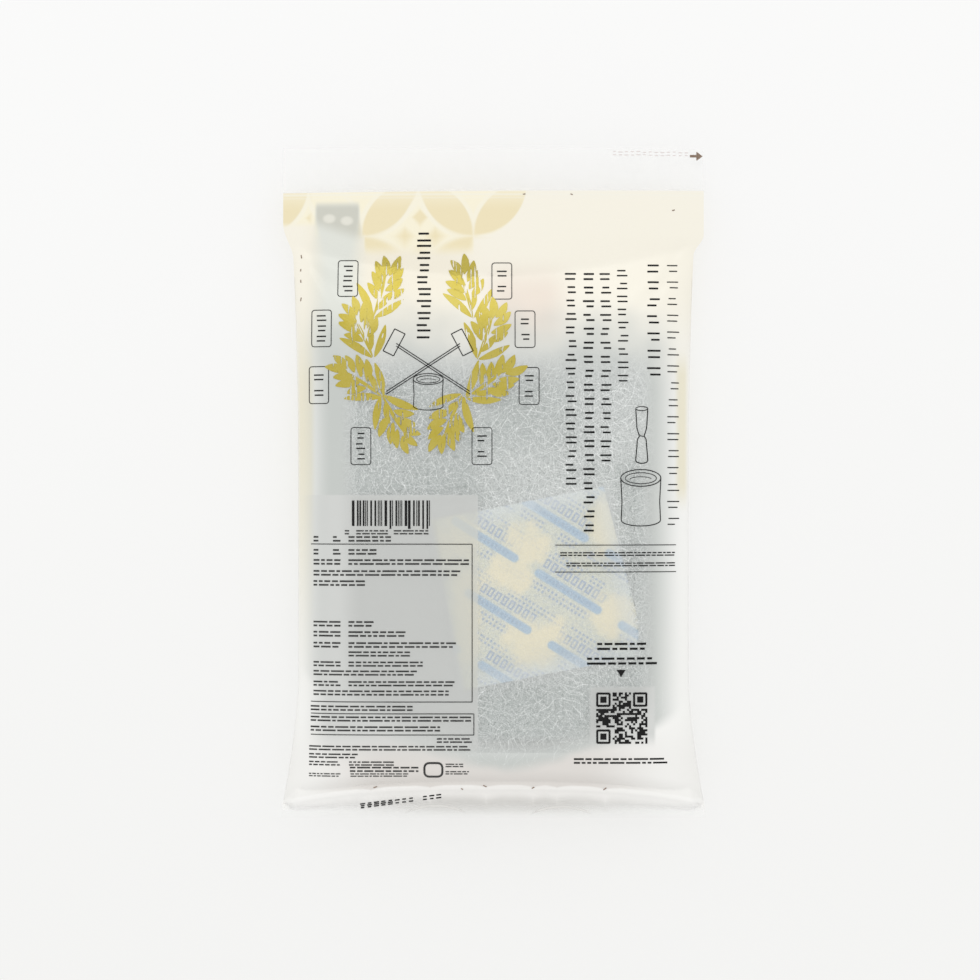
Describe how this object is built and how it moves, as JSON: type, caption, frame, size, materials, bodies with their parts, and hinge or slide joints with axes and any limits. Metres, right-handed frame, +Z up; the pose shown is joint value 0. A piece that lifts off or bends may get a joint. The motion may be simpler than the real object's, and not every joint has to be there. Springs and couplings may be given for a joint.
{
  "type": "sealed bag of japanese rice crackers",
  "caption": "Filled bag of milky film with a flat header and a bottom seam, a tray of crackers wrapped in seaweed and a drying packet showing through, lying on its front.",
  "frame": {"origin": "on the floor under the middle of the bag", "axes": "+X across the bag, +Y from the bottom seam to the header, +Z up out of the printed back"},
  "size_m": [0.1472, 0.2334, 0.0245],
  "materials": {
    "film": "milky translucent film with fine pale fibres, clear at the header and the fin",
    "print": "ink on film",
    "sachet": "pale cream paper film with blue bars",
    "tray": "thin thermoformed translucent plastic",
    "cracker": "rice cracker wrapped in dark green seaweed"
  },
  "bodies": {
    "root": {"bag": "film"}
  },
  "joints": []
}
